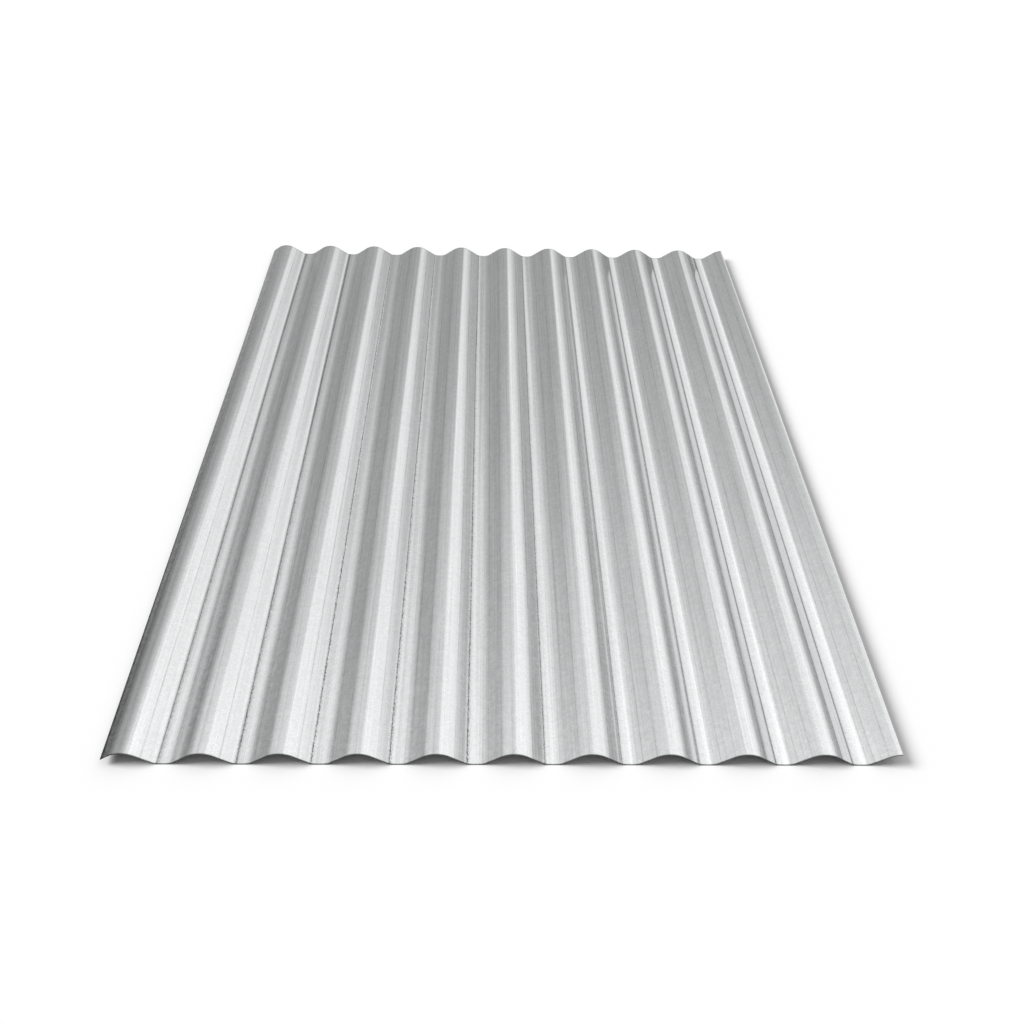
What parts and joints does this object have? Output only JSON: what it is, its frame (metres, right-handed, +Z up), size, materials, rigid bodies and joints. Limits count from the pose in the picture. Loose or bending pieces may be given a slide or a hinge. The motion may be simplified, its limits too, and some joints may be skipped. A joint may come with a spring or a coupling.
{
  "type": "corrugated metal sheet",
  "caption": "Galvanised corrugated steel sheet with round crests and troughs joined by straight sloping flanks, for roofing and cladding.",
  "frame": {"origin": "on the floor under the middle of the sheet: the centre of its bounding box's underside", "axes": "+Y along the corrugations, +X across them towards the side edge that ends on a crest line, +Z up from the troughs to the crests"},
  "size_m": [0.784, 1.1, 0.016],
  "materials": {
    "galvanised_steel": "hot-dip galvanised with a very fine spangle, half bright, with faint forming streaks and dark scuff lines along the corrugations"
  },
  "bodies": {
    "root": {"corrugated_sheet": "galvanised_steel"}
  },
  "joints": []
}
